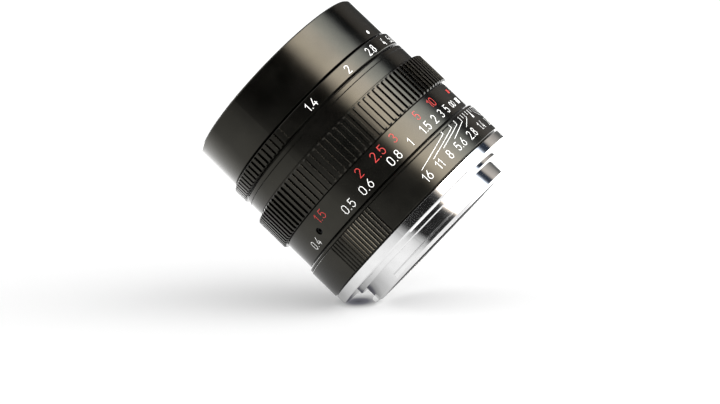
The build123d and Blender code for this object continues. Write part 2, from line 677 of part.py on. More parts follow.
# name: (rim radius, front centre, front rim, rear centre, rear rim)
GLASS = {
    "lens_1": (FRONT_GLASS["lens_1"], 49.0, 45.4, 44.6, 42.6),
    "lens_2": (FRONT_GLASS["lens_2"], 44.1, 41.0, 39.7, 38.2),
    "lens_3": (FRONT_GLASS["lens_3"], 39.4, 37.9, 37.4, 33.6),
    "lens_4": (REAR_GLASS_R, 25.9, 28.75, 24.4, 22.4),
    "lens_5": (REAR_GLASS_R, 24.37, 22.37, 18.4, 20.8),
    "lens_6": (REAR_GLASS_R, 17.9, 16.2, 12.9, 14.4),
    "lens_7": (REAR_GLASS_R, 12.4, 11.0, 8.2, 8.9),
}
for name, (rim, front_mid, front_rim, rear_mid, rear_rim) in GLASS.items():
    with BuildPart() as element:
        with BuildSketch(Plane.XZ):
            with BuildLine():
                ThreePointArc(*arc_between(front_mid, front_rim, rim))
                Line((rim, front_rim), (rim, rear_rim))
                ThreePointArc(*arc_between(rear_mid, rear_rim, rim))
                Line((0, rear_mid), (0, front_mid))
            make_face()
        revolve(axis=Axis.Z)
    write(element, name)

RETAINER_IN_R = 18.7
RETAINER_TOP_Z = 48.2

with BuildPart() as front_retainer:
    revolve(
        profile(
            [
                (RETAINER_IN_R, 45.75),
                (FRONT_GLASS["lens_1"] - 0.1, 45.45),
                (FRONT_GLASS["lens_1"] + FACE_GAP, 45.45),
                (FRONT_GLASS["lens_1"] + FACE_GAP, LENS_1_SEAT_Z[1] + FACE_GAP),
                (FRONT_GLASS["lens_1"] + RETAINER_BORE - SEAT_GAP, LENS_1_SEAT_Z[1] + FACE_GAP),
                (FRONT_GLASS["lens_1"] + RETAINER_BORE - SEAT_GAP, RETAINER_TOP_Z),
                (RETAINER_IN_R + 0.7, RETAINER_TOP_Z),
                (RETAINER_IN_R, 46.6),
            ]
        ),
        axis=Axis.Z,
    )
write(front_retainer, "front_retainer")

with BuildPart() as front_spacer:
    revolve(spacer_section(FRONT_SPACER_IN_R, "lens_2", "lens_1"), axis=Axis.Z)
write(front_spacer, "front_spacer")

CELL_BORE_R = REAR_GLASS_R + SEAT_GAP
REAR_CELL_R = (16.4, 17.0, 21.0)
REAR_CELL_Z = 7.4
REAR_CELL_STEP_Z = 20.0
REAR_CELL_FLANGE_Z = 27.9
REAR_CELL_LIP_R = 13.6
REAR_CELL_LIP_Z = 28.8

with BuildPart() as rear_cell:
    revolve(
        profile(
            [
                (CELL_BORE_R, REAR_CELL_Z),
                (REAR_CELL_R[0], REAR_CELL_Z),
                (REAR_CELL_R[0], REAR_CELL_STEP_Z),
                (REAR_CELL_R[1], REAR_CELL_STEP_Z),
                (REAR_CELL_R[1], REAR_CELL_FLANGE_Z),
                (REAR_CELL_R[2], REAR_CELL_FLANGE_Z),
                (REAR_CELL_R[2], PLATE_Z[0] - FACE_GAP),
                (REAR_CELL_LIP_R, PLATE_Z[0] - FACE_GAP),
                (REAR_CELL_LIP_R, REAR_CELL_LIP_Z),
                (CELL_BORE_R, REAR_CELL_LIP_Z),
            ]
        ),
        axis=Axis.Z,
    )
write(rear_cell, "rear_cell")

with BuildPart() as rear_spacer:
    revolve(spacer_section(REAR_SPACER_IN_R, "lens_6", "lens_5"), axis=Axis.Z)
write(rear_spacer, "rear_spacer")

with BuildPart() as rear_thin_spacer:
    revolve(spacer_section(THIN_SPACER_IN_R, "lens_7", "lens_6"), axis=Axis.Z)
write(rear_thin_spacer, "rear_thin_spacer")

REAR_RETAINER_IN_R = 13.3
REAR_RETAINER_Z = (7.5, 8.85)

with BuildPart() as rear_retainer:
    revolve(
        profile(
            [
                (REAR_RETAINER_IN_R, REAR_RETAINER_Z[0]),
                (REAR_GLASS_R, REAR_RETAINER_Z[0]),
                (REAR_GLASS_R, REAR_RETAINER_Z[1]),
                (REAR_RETAINER_IN_R, REAR_RETAINER_Z[1] - 0.25),
            ]
        ),
        axis=Axis.Z,
    )
    # a pair of spanner slots
    with BuildSketch(Plane.XY.offset(REAR_RETAINER_Z[0])):
        Rectangle(40, 1.2)
    extrude(amount=0.6, mode=Mode.SUBTRACT)
write(rear_retainer, "rear_retainer")

# ---- the iris ------------------------------------------------------------------------------------

HOUSING_OUT_R = BARREL_IN_R - SEAT_GAP
HOUSING_IN_R = 23.3
BLADE_ANGLES = [360 / BLADES * number for number in range(BLADES)]
HOUSING_BORE_R = 12.2
HOUSING_FOOT_R = 21.9
HOUSING_TOP_Z = 33.4

with BuildPart() as iris_housing:
    revolve(
        profile(
            [
                (HOUSING_BORE_R, PLATE_Z[0]),
                (HOUSING_FOOT_R, PLATE_Z[0]),
                (HOUSING_FOOT_R, SHOULDER_Z[1] + FACE_GAP),
                (HOUSING_OUT_R, SHOULDER_Z[1] + FACE_GAP),
                (HOUSING_OUT_R, HOUSING_TOP_Z),
                (HOUSING_IN_R, HOUSING_TOP_Z),
                (HOUSING_IN_R, PLATE_Z[1]),
                (HOUSING_BORE_R, PLATE_Z[1]),
            ]
        ),
        axis=Axis.Z,
    )
    for angle in BLADE_ANGLES:
        hole = disc(axial_plane(PIVOT_CIRCLE_R, angle, PLATE_Z[0] - 1), PIVOT_PIN_R + PIN_CLEARANCE)
        extrude(hole, amount=3, mode=Mode.SUBTRACT)
    for angle in SET_SCREW_ANGLES:
        foot = radial_plane(HOUSING_OUT_R - DIMPLE_DEPTH, angle, SET_SCREW_Z)
        extrude(disc(foot, SET_SCREW_R + HOLE_PLAY), amount=2, mode=Mode.SUBTRACT)
write(iris_housing, "iris_housing")

with BuildPart() as iris_set_screws:
    for angle in SET_SCREW_ANGLES:
        foot = radial_plane(HOUSING_OUT_R - DIMPLE_DEPTH + FACE_GAP, angle, SET_SCREW_Z)
        extrude(disc(foot, SET_SCREW_R), amount=SET_SCREW_L)
        with BuildSketch(foot.offset(SET_SCREW_L - SET_SCREW_SLOT[1])):
            Rectangle(2 * SET_SCREW_R, SET_SCREW_SLOT[0])
        extrude(amount=2, mode=Mode.SUBTRACT)
write(iris_set_screws, "iris_set_screws")

# the drive pin of a blade, seen from the optical axis, when the blade has swung by swing degrees
def drive_pin(swing):
    direction = math.radians(LEVER_ANGLE + swing)
    x = PIVOT_CIRCLE_R + LEVER_L * math.cos(direction)
    y = LEVER_L * math.sin(direction)
    return math.hypot(x, y), math.degrees(math.atan2(y, x))


def cam_point(swing, sideways):
    """A point of a cam slot's wall, in the resting cam ring; sideways is measured from the middle."""
    radius, angle = drive_pin(swing)
    turn = math.radians(angle + (swing - BLADE_REST) / BLADE_PER_RING)
    step = 0.05
    before, after = drive_pin(swing - step), drive_pin(swing + step)
    along = math.radians(after[1] - before[1] + 2 * step / BLADE_PER_RING) * radius
    out = after[0] - before[0]
    size = math.hypot(along, out)
    # unit normal of the slot's middle line, as outward and tangential parts
    normal_out, normal_along = along / size, -out / size
    x = (radius + sideways * normal_out) * math.cos(turn) - sideways * normal_along * math.sin(turn)
    y = (radius + sideways * normal_out) * math.sin(turn) + sideways * normal_along * math.cos(turn)
    return x, y


CAM_IN_R = 15.4
CAM_OUT_R = 23.2
TAB_IN_R = 22.2
TAB_HALF_ANGLE = 4.0
TAB_TOP_Z = 40.6
SLOT_HALF_W = DRIVE_PIN_R + PIN_CLEARANCE
SLOT_MARGIN = 0.9         # the slot runs on past the pin's last place, in degrees of blade swing
SLOT_POINTS = 13

slot_swings = [
    -SLOT_MARGIN + (BLADE_SWING + 2 * SLOT_MARGIN) * step / (SLOT_POINTS - 1) for step in range(SLOT_POINTS)
]
with BuildSketch(Plane.XY.offset(CAM_Z[0] - 1)) as cam_slot:
    with BuildLine():
        outer_wall = Spline(*[cam_point(swing, SLOT_HALF_W) for swing in slot_swings])
        inner_wall = Spline(*[cam_point(swing, -SLOT_HALF_W) for swing in slot_swings])
        Line(outer_wall @ 0, inner_wall @ 0)
        Line(outer_wall @ 1, inner_wall @ 1)
    make_face()

with BuildPart() as iris_cam_ring:
    revolve(band(CAM_IN_R, CAM_OUT_R, CAM_Z), axis=Axis.Z)
    with PolarLocations(0, BLADES):
        add(extrude(cam_slot.sketch, amount=3, mode=Mode.PRIVATE), mode=Mode.SUBTRACT)
    tab = sector(CAM_Z[0], TAB_IN_R, CAM_OUT_R, LINK_ANGLE - TAB_HALF_ANGLE, LINK_ANGLE + TAB_HALF_ANGLE)
    extrude(tab, amount=TAB_TOP_Z - CAM_Z[0])
    extrude(disc(radial_plane(20, LINK_ANGLE, LINK_Z), LINK_R + FACE_GAP), amount=5, mode=Mode.SUBTRACT)
write(iris_cam_ring, "iris_cam_ring")

SNAP_GAP = (LINK_ANGLE - CLOSE_TURN - 2 * TAB_HALF_ANGLE, LINK_ANGLE + OPEN_TURN + 2 * TAB_HALF_ANGLE)
SNAP_IN_R = 21.2
SNAP_Z = CAM_Z[1] + 0.1
SNAP_T = 0.5

with BuildPart() as iris_retaining_ring:
    snap = sector(SNAP_Z, SNAP_IN_R, HOUSING_IN_R - FACE_GAP, SNAP_GAP[1], SNAP_GAP[0] + 360)
    extrude(snap, amount=SNAP_T)
write(iris_retaining_ring, "iris_retaining_ring")

BLADE_EYE_R = 1.05        # around the pivot pin
PIN_EYE_R = 0.75          # around the drive pin
LEVER_W = 1.3
BLADE_HEEL = ((0, BLADE_EYE_R), (0, -BLADE_EYE_R), (-2.7, -1.0), (-2.9, 2.2))

for number, angle in enumerate(BLADE_ANGLES):
    height = BLADE_Z + BLADE_STEP * number
    turn = math.radians(angle)
    facing = math.radians(angle + BLADE_REST)
    pivot = (PIVOT_CIRCLE_R * math.cos(turn), PIVOT_CIRCLE_R * math.sin(turn), height)
    own = Plane(origin=pivot, x_dir=(math.cos(facing), math.sin(facing), 0), z_dir=(0, 0, 1))
    centre = (-PIVOT_CIRCLE_R, 0)
    lever = math.radians(LEVER_ANGLE)
    pin_place = (LEVER_L * math.cos(lever), LEVER_L * math.sin(lever))
    with BuildPart() as blade:
        with BuildSketch(own):
            with BuildLine():
                sweep_angle = BLADE_ARC[1] - BLADE_ARC[0]
                outer_edge = CenterArc(centre, BLADE_OUT_R, BLADE_ARC[0], sweep_angle)
                inner_edge = CenterArc(centre, BLADE_IN_R, BLADE_ARC[0], sweep_angle)
                Line(outer_edge @ 0, inner_edge @ 0)
                RadiusArc(outer_edge @ 1, inner_edge @ 1, (BLADE_OUT_R - BLADE_IN_R) / 2 + 0.01)
            make_face()
            Circle(BLADE_EYE_R)
            Polygon(*BLADE_HEEL, align=None)
            with Locations(Location((pin_place[0] / 2, pin_place[1] / 2), LEVER_ANGLE)):
                Rectangle(LEVER_L, LEVER_W)
            with Locations(pin_place):
                Circle(PIN_EYE_R)
        extrude(amount=BLADE_T)
        with BuildSketch(own):
            Circle(PIVOT_PIN_R)
        extrude(amount=PLATE_Z[0] + 0.1 - height)
        with BuildSketch(own):
            with Locations(pin_place):
                Circle(DRIVE_PIN_R)
        extrude(amount=CAM_Z[1] - height)
    write(blade, f"iris_blade_{number + 1}")

# ---- aperture ring -------------------------------------------------------------------------------

KNURL_PITCH = 3.6
KNURL_ARC = (141.6, 366.6)
KNURL_WALLS = ((0, 0.42), (0.5, 0.36))
KNURL_LAST = 362.9        # angle of the groove next to the numbers
KNURL_COUNT = 61
APERTURE_EDGE = 0.18
LINK_PIN_OUT_R = 27.4

with BuildPart() as aperture_ring:
    revolve(
        profile(
            [
                (BARREL_OUT_R + RUN, APERTURE_Z[0]),
                (APERTURE_R - APERTURE_EDGE, APERTURE_Z[0]),
                (APERTURE_R, APERTURE_Z[0] + APERTURE_EDGE),
                (APERTURE_R, APERTURE_Z[1] - APERTURE_EDGE),
                (APERTURE_R - APERTURE_EDGE, APERTURE_Z[1]),
                (BARREL_OUT_R + RUN, APERTURE_Z[1]),
            ]
        ),
        axis=Axis.Z,
    )
    knurl = sector(APERTURE_Z[0] + APERTURE_EDGE, APERTURE_R - 1, APERTURE_KNURL_R, *KNURL_ARC)
    extrude(knurl, amount=APERTURE_Z[1] - APERTURE_Z[0] - 2 * APERTURE_EDGE)
    first = KNURL_LAST - KNURL_PITCH * (KNURL_COUNT - 1)
    cuts = groove_marks(APERTURE_Z[0] - 1, APERTURE_KNURL_R, KNURL_WALLS, first, KNURL_PITCH, KNURL_COUNT)
    extrude(cuts, amount=6, mode=Mode.SUBTRACT)
    extrude(disc(radial_plane(20, LINK_ANGLE, LINK_Z), LINK_R + FACE_GAP), amount=7.5, mode=Mode.SUBTRACT)
write(aperture_ring, "aperture_ring")

with BuildPart() as aperture_link_pin:
    extrude(disc(radial_plane(TAB_IN_R, LINK_ANGLE, LINK_Z), LINK_R), amount=LINK_PIN_OUT_R - TAB_IN_R)
write(aperture_link_pin, "aperture_link_pin")
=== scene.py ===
import json
import math

import bpy
from mathutils import Matrix, Vector


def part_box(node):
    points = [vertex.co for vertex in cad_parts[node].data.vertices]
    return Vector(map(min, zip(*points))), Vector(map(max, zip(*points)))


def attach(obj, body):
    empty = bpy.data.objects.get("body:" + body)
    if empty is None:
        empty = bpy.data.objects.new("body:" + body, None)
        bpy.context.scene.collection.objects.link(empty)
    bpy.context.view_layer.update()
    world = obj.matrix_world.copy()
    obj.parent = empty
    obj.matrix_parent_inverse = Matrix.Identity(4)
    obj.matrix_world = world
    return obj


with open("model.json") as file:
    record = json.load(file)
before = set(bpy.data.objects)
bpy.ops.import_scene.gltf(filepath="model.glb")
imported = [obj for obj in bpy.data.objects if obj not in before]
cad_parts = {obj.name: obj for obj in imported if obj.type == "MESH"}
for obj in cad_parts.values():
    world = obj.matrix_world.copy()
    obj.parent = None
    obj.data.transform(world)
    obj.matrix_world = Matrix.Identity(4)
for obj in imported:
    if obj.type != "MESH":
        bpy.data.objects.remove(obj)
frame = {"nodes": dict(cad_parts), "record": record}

MM = 0.001
nodes = frame["nodes"]
scene = bpy.context.scene
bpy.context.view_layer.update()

# ---- places read from the frame ------------------------------------------------------------


def radius_of(node):
    """A turned node's largest radius, in metres."""
    low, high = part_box(node)
    return max(high.x, -low.x, high.y, -low.y)


FLANGE_R = radius_of("mount_flange")
REAR_R = radius_of("rear_barrel")
SCALE_R = radius_of("distance_sleeve")
FRONT_R = radius_of("front_barrel")
KNURL_RISE = 0.3 * MM     # the aperture ring's ribs stand this far above its numbers
APERTURE_R = radius_of("aperture_ring") - KNURL_RISE
FRONT_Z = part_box("front_barrel")[1].z
INDEX = 90.0              # the index line's angle about the optical axis
FILTER_R = 26.0 * MM


def outward(angle):
    turn = math.radians(angle)
    return Vector((math.cos(turn), math.sin(turn), 0))


# ---- camera --------------------------------------------------------------------------------

CAMERA_AT = Vector((0.37884, 0.16545, -0.01272))
CAMERA_RIGHT = Vector((-0.33487, 0.60932, -0.71875))
CAMERA_BACK = Vector((0.90622, 0.41722, -0.06853))
FOCAL_MM = 79.18

camera = bpy.data.objects.new("camera", bpy.data.cameras.new("camera"))
scene.collection.objects.link(camera)
scene.camera = camera
camera.data.sensor_width = 36
camera.data.lens = FOCAL_MM
camera.data.clip_start = 0.01
camera.data.clip_end = 20
back = CAMERA_BACK.normalized()
right = (CAMERA_RIGHT - CAMERA_RIGHT.dot(back) * back).normalized()
turn = Matrix((right, back.cross(right), back)).transposed()
camera.matrix_world = Matrix.Translation(CAMERA_AT) @ turn.to_4x4()

# ---- floor and light -----------------------------------------------------------------------

FLOOR_SIDE = -77.0        # the side of the lens that lies on the floor
CLAW_R = 24.25 * MM
CLAW_END_Z = -5.6 * MM
FLOOR_SIZE = 3.0
FLOOR_FRONT = 0.16        # how far the floor reaches towards the camera
CONTACT_MID = 2.8 * MM    # middle of the gap between flange and claw, along the floor, where the painted contact shadow is centred
# half sizes of the painted contact shadow, across and along the floor
CONTACT_REACH = (4.5 * MM, 8.0 * MM)
FLOOR_LIFT = 0.02 * MM    # the floor lies this far below the lens, so that nothing cuts into it
FLOOR_GLOW = 0.35         # share of the floor's light that casts no shadow
MIRRORED_GLOW = 3.2       # brightness of the floor's painted glow in reflections
GLOW_REACH = 0.2          # how far from the lens the floor's painted glow in reflections reaches full brightness
AHEAD_FROM, AHEAD_TO = -0.03, 0.01

# the lens rests on the flange's rear corner and on the rear corner of a bayonet claw
side = outward(FLOOR_SIDE)
floor_up = (CLAW_END_Z * side + (FLANGE_R - CLAW_R) * Vector((0, 0, 1))).normalized()
floor_at = FLANGE_R * side - FLOOR_LIFT * floor_up
towards = (back - back.dot(floor_up) * floor_up).normalized()
across = floor_up.cross(towards)


def new_object(name, mesh, material=None):
    piece = bpy.data.objects.new(name, mesh)
    scene.collection.objects.link(piece)
    if material:
        mesh.materials.append(material)
    return piece


class Nodes:
    """A short way to build a node tree. A value is a number, a colour or another node's output."""

    def __init__(self, tree):
        self.tree = tree
        tree.nodes.clear()

    def add(self, kind, values=None, **settings):
        node = self.tree.nodes.new(kind)
        for key, value in settings.items():
            setattr(node, key, value)
        for key, value in (values or {}).items():
            if isinstance(value, bpy.types.NodeSocket):
                self.tree.links.new(value, node.inputs[key])
            else:
                node.inputs[key].default_value = value
        return node

    def math(self, operation, first, second=0.0, third=0.0):
        return self.add("ShaderNodeMath", {0: first, 1: second, 2: third}, operation=operation).outputs[0]

    def dot(self, first, second):
        node = self.add("ShaderNodeVectorMath", {0: first, 1: second}, operation="DOT_PRODUCT")
        return node.outputs["Value"]

    def scaled(self, value, start, end, low=0.0, high=1.0):
        """The value's place between start and end, as a number from low to high."""
        ends = {"Value": value, "From Min": start, "From Max": end, "To Min": low, "To Max": high}
        return self.add("ShaderNodeMapRange", ends, clamp=True).outputs[0]

    def mix(self, share, first, second, blend="MIX"):
        # a mix node keeps its colour sockets after those for numbers and vectors
        sockets = {0: share, 6: first, 7: second}
        return self.add("ShaderNodeMix", sockets, data_type="RGBA", blend_type=blend).outputs[2]

    def mix_shaders(self, share, first, second):
        return self.add("ShaderNodeMixShader", {0: share, 1: first, 2: second}).outputs[0]

    def noise(self, where, scale, detail):
        node = self.add("ShaderNodeTexNoise", {"Vector": where, "Scale": scale, "Detail": detail})
        return node.outputs["Fac"]

    def ramp(self, factor, stops):
        """A colour that follows the factor through (position, colour) stops."""
        node = self.add("ShaderNodeValToRGB", {"Fac": factor})
        elements = node.color_ramp.elements
        while len(elements) < len(stops):
            elements.new(0.5)
        for element, (position, colour) in zip(elements, stops):
            element.position = position
            element.color = (*colour, 1)
        return node.outputs["Color"]


def grey(level):
    return level, level, level


def new_material(name):
    material = bpy.data.materials.new(name)
    material.use_nodes = True
    return material, Nodes(material.node_tree)


def floor_material():
    """A pale matt floor, open from below, with a painted contact shadow under the lens. In reflections it
    is a painted glow that grows brighter away from the lens.
    """
    material, tree = new_material("floor_white")
    geometry = tree.add("ShaderNodeNewGeometry")
    where = geometry.outputs["Position"]
    offset = tree.add("ShaderNodeVectorMath", {0: where, 1: floor_at}, operation="SUBTRACT")
    offset = offset.outputs["Vector"]
    reach = tree.add("ShaderNodeVectorMath", {0: offset}, operation="LENGTH").outputs["Value"]
    share = tree.math("DIVIDE", reach, GLOW_REACH)
    # painted reflection: what other parts mirror of the floor is a glow whose brightness is painted by the
    # distance from the lens, darker near it and on the camera's side
    beyond = tree.ramp(
        share, [(0.0, grey(0.1)), (0.1, grey(0.17)), (0.22, grey(0.3)), (0.5, grey(0.65)), (1.0, grey(1.0))]
    )
    ahead = tree.ramp(
        share,
        [
            (0.0, grey(0.12)),
            (0.05, grey(0.13)),
            (0.1, grey(0.22)),
            (0.14, grey(0.28)),
            (0.2, grey(0.31)),
            (0.45, grey(0.27)),
            (0.7, grey(0.2)),
            (1.0, grey(0.1)),
        ],
    )
    nearer = tree.dot(offset, towards)
    painted_reflection_glow = tree.mix(tree.scaled(nearer, AHEAD_FROM, AHEAD_TO), beyond, ahead)
    # painted contact shadow: the floor's colour is darkened in the gap between the two places where the
    # lens touches it, where little light reaches
    aside = tree.math("SUBTRACT", tree.dot(offset, across), CONTACT_MID)
    aside = tree.math("DIVIDE", aside, CONTACT_REACH[0])
    deep = tree.math("DIVIDE", nearer, CONTACT_REACH[1])
    spread = tree.math("ADD", tree.math("MULTIPLY", aside, aside), tree.math("MULTIPLY", deep, deep))
    painted_contact_shadow = tree.ramp(
        tree.math("MULTIPLY", tree.math("SQRT", spread), 0.5),
        [(0.0, (0.17, 0.17, 0.2)), (0.28, (0.29, 0.29, 0.33)), (0.5, grey(0.76)), (0.75, grey(1.0))],
    )
    matt = tree.add("ShaderNodeBsdfDiffuse", {"Color": painted_contact_shadow})
    lit = tree.add("ShaderNodeEmission", {"Color": painted_contact_shadow, "Strength": 1.0})
    seen = tree.mix_shaders(FLOOR_GLOW, matt.outputs[0], lit.outputs[0])
    # the painted contact shadow also darkens the painted glow seen in reflections
    painted_reflection_glow = tree.mix(1.0, painted_reflection_glow, painted_contact_shadow, blend="MULTIPLY")
    mirrored = tree.add("ShaderNodeEmission", {"Color": painted_reflection_glow, "Strength": MIRRORED_GLOW})
    clear = tree.add("ShaderNodeBsdfTransparent")
    path = tree.add("ShaderNodeLightPath")
    top = tree.mix_shaders(path.outputs["Is Glossy Ray"], seen, mirrored.outputs[0])
    both = tree.mix_shaders(geometry.outputs["Backfacing"], top, clear.outputs[0])
    tree.add("ShaderNodeOutputMaterial", {"Surface": both})
    return material


floor_mesh = bpy.data.meshes.new("floor")
corners = [
    floor_at + across * x + towards * y
    for x, y in (
        (-FLOOR_SIZE, -FLOOR_SIZE),
        (FLOOR_SIZE, -FLOOR_SIZE),
        (FLOOR_SIZE, FLOOR_FRONT),
        (-FLOOR_SIZE, FLOOR_FRONT),
    )
]
floor_mesh.from_pydata(corners, [], [(0, 1, 2, 3)])
floor = new_object("floor", floor_mesh, floor_material())
if floor_mesh.polygons[0].normal.dot(floor_up) < 0:
    floor_mesh.flip_normals()

# The light comes from all round. For reflections it has a pattern round the optical axis: a dark
# room behind the camera, a large soft box above it, a dark gap and a grey wall beyond. Bevels that
# look along the axis see a plain grey instead, and the flat faces at the back see a white card.
NEAR = 23.6               # the angle of the lens's side that faces the camera
ROOM_SLANT = 220.0        # degrees that the dark room's lower edge moves per unit of height
ROOM_LEVEL = 0.034        # the height at which that edge isn't moved
SKY = 12.0                # brightness of a ramp's white
CARD = 1.4                # brightness of the white card
CARD_LEVEL = -0.014
ENDS_FROM, ENDS_TO = 0.25, 0.6
DIM_TO = 0.2              # the pattern grows dimmer up to this height
DIM_LEVELS = (1.1, 0.58)
SOFT_LIGHT = 0.56         # light on the matt floor from everywhere
SIDE_LIGHT = 7.0          # how much more light it gets from the right and the front
SIDE_FOCUS = 3.0
BACKDROP = 1.15


def make_world():
    world = bpy.data.worlds.new("studio")
    scene.world = world
    world.use_nodes = True
    world.cycles.sampling_method = "NONE"
    tree = Nodes(world.node_tree)
    where = tree.add("ShaderNodeTexCoord").outputs["Generated"]
    along_near = tree.dot(where, outward(NEAR))
    along_over = tree.dot(where, outward(NEAR + 90))
    rise = tree.add("ShaderNodeSeparateXYZ", {0: where}).outputs["Z"]
    angle = tree.math("DEGREES", tree.math("ARCTAN2", along_over, along_near))
    slant = tree.math("MULTIPLY", tree.math("SUBTRACT", rise, ROOM_LEVEL), ROOM_SLANT)
    lower = tree.math("MINIMUM", tree.math("ADD", tree.math("MINIMUM", angle, 0.0), slant), 0.0)
    angle = tree.math("ADD", tree.math("MAXIMUM", angle, 0.0), lower)
    share = tree.math("ADD", tree.math("DIVIDE", angle, 360.0), 0.5)

    def stop(degrees, red, green=None, blue=None):
        colour = (red, red if green is None else green, red if blue is None else blue)
        return (degrees + 180) / 360, tuple(part / SKY for part in colour)

    pattern = tree.ramp(
        share,
        [
            stop(-180, 1.0),
            stop(-60, 1.0),
            stop(-38, 0.94),
            stop(-25, 0.64),
            stop(-15, 0.02),
            stop(17, 0.013),
            stop(25, 0.06),
            stop(29, 0.6, 0.54, 0.47),
            stop(35, 5.5, 5.0, 4.5),
            stop(44, 11.0, 10.0, 8.8),
            stop(64, 11.0, 10.3, 9.8),
            stop(74, 8.0, 8.2, 8.2),
            stop(90, 4.2, 4.5, 4.7),
            stop(97, 1.2, 1.3, 1.45),
            stop(101, 0.12, 0.14, 0.18),
            stop(104, 0.03, 0.038, 0.055),
            stop(111, 0.03, 0.038, 0.055),
            stop(116, 0.46, 0.42, 0.38),
            stop(122, 0.52, 0.48, 0.44),
            stop(136, 0.34, 0.32, 0.3),
            stop(152, 0.12, 0.12, 0.115),
            stop(166, 0.14),
            stop(180, 0.28),
        ],
    )
    sunk = tree.scaled(rise, CARD_LEVEL, 0.0, 1.0, 0.0)
    pattern = tree.mix(sunk, pattern, (*grey(CARD / SKY), 1))
    ends = tree.ramp(
        tree.math("ADD", tree.math("MULTIPLY", rise, 0.5), 0.5),
        [
            (0.0, grey(0.16)),
            (0.2, grey(0.13)),
            (0.35, grey(0.09)),
            (0.5, grey(0.02)),
            (0.8, grey(0.05)),
            (0.95, grey(0.15)),
            (1.0, grey(0.15)),
        ],
    )
    aside = tree.scaled(tree.math("ABSOLUTE", rise), ENDS_FROM, ENDS_TO)
    pattern = tree.mix(aside, pattern, ends)
    strength = tree.math("MULTIPLY", tree.scaled(rise, 0.0, DIM_TO, *DIM_LEVELS), SKY)
    reflected = tree.add("ShaderNodeBackground", {"Color": pattern, "Strength": strength})
    # the matt floor sees more light from the right and the front, so its shadow falls back to the left
    light_side = (0.8 * right + 0.6 * towards).normalized()
    lit_side = tree.math("POWER", tree.math("MAXIMUM", tree.dot(where, light_side), 0.0), SIDE_FOCUS)
    level = tree.math("MULTIPLY_ADD", lit_side, SIDE_LIGHT, third=SOFT_LIGHT)
    plain = tree.add("ShaderNodeBackground", {"Color": (1, 1, 1, 1), "Strength": level})
    backdrop = tree.add("ShaderNodeBackground", {"Color": (1, 1, 1, 1), "Strength": BACKDROP})
    path = tree.add("ShaderNodeLightPath")
    soft = tree.mix_shaders(path.outputs["Is Diffuse Ray"], backdrop.outputs[0], plain.outputs[0])
    mix = tree.mix_shaders(path.outputs["Is Glossy Ray"], soft, reflected.outputs[0])
    tree.add("ShaderNodeOutputWorld", {"Surface": mix})


make_world()

# ---- materials -----------------------------------------------------------------------------

PAINTED_SHADE_GAP = 1.2 * MM      # painted shade darkens the colour inside gaps narrower than about this
BLACKENED = (0.02, 0.02, 0.02, 1)
DULL = 0.5                # roughness of the blackened end
SHARP_FROM = math.radians(25)


def anodised(name, colour, roughness, grain=0.25, spread=0.06):
    """Black anodised aluminium: satin, with a faint cloudiness, a fine blasted grain and painted shade in
    narrow gaps and grooves.
    """
    material, tree = new_material(name)
    where = tree.add("ShaderNodeTexCoord").outputs["Object"]
    cloud = tree.noise(where, 120.0, 4.0)
    fine = tree.noise(where, 5200.0, 2.0)
    rough = tree.scaled(cloud, 0.3, 0.7, roughness - spread, roughness + spread)
    tone_and_painted_shade = tree.ramp(cloud, [(0.35, tuple(0.82 * part for part in colour)), (0.65, colour)])
    # painted shade: the colour is darkened in narrow gaps and grooves, where hardly any light comes out
    reach = tree.add("ShaderNodeAmbientOcclusion", {"Distance": PAINTED_SHADE_GAP}, samples=8)
    painted_gap_shade = tree.ramp(reach.outputs["AO"], [(0.15, grey(0.02)), (0.42, grey(0.08)), (0.52, grey(1.0))])
    tone_and_painted_shade = tree.mix(1.0, tone_and_painted_shade, painted_gap_shade, blend="MULTIPLY")
    rounded = tree.add("ShaderNodeBevel", {"Radius": 0.06 * MM}, samples=4)
    bump = tree.add(
        "ShaderNodeBump",
        {"Strength": grain, "Distance": 0.004 * MM, "Height": fine, "Normal": rounded.outputs[0]},
    )
    shader = tree.add(
        "ShaderNodeBsdfPrincipled",
        {"Base Color": tone_and_painted_shade, "Metallic": 1.0, "Roughness": rough, "Normal": bump.outputs[0]},
    )
    tree.add("ShaderNodeOutputMaterial", {"Surface": shader.outputs[0]})
    return material


def bright_metal(name, colour, roughness, grain=0.15, black_from=None):
    """Turned metal with fine tool marks round the axis, blackened in front of a given height."""
    material, tree = new_material(name)
    where = tree.add("ShaderNodeTexCoord").outputs["Object"]
    stretched = tree.add("ShaderNodeMapping", {"Vector": where, "Scale": (60.0, 60.0, 9000.0)}).outputs[0]
    lines = tree.noise(stretched, 1.0, 3.0)
    cloud = tree.noise(where, 200.0, 3.0)
    rough = tree.scaled(cloud, 0.3, 0.7, roughness * 0.7, roughness * 1.3)
    rounded = tree.add("ShaderNodeBevel", {"Radius": 0.08 * MM}, samples=4)
    bump = tree.add(
        "ShaderNodeBump",
        {"Strength": grain, "Distance": 0.003 * MM, "Height": lines, "Normal": rounded.outputs[0]},
    )
    shade = tree.ramp(cloud, [(0.3, tuple(0.92 * part for part in colour)), (0.7, colour)])
    if black_from:
        height = tree.add("ShaderNodeSeparateXYZ", {0: where}).outputs["Z"]
        ahead = tree.math("GREATER_THAN", height, black_from)
        shade = tree.mix(ahead, shade, BLACKENED)
        rough = tree.add("ShaderNodeMix", {0: ahead, 2: rough, 3: DULL}, data_type="FLOAT").outputs[0]
    shader = tree.add(
        "ShaderNodeBsdfPrincipled",
        {"Base Color": shade, "Metallic": 1.0, "Roughness": rough, "Normal": bump.outputs[0]},
    )
    tree.add("ShaderNodeOutputMaterial", {"Surface": shader.outputs[0]})
    return material


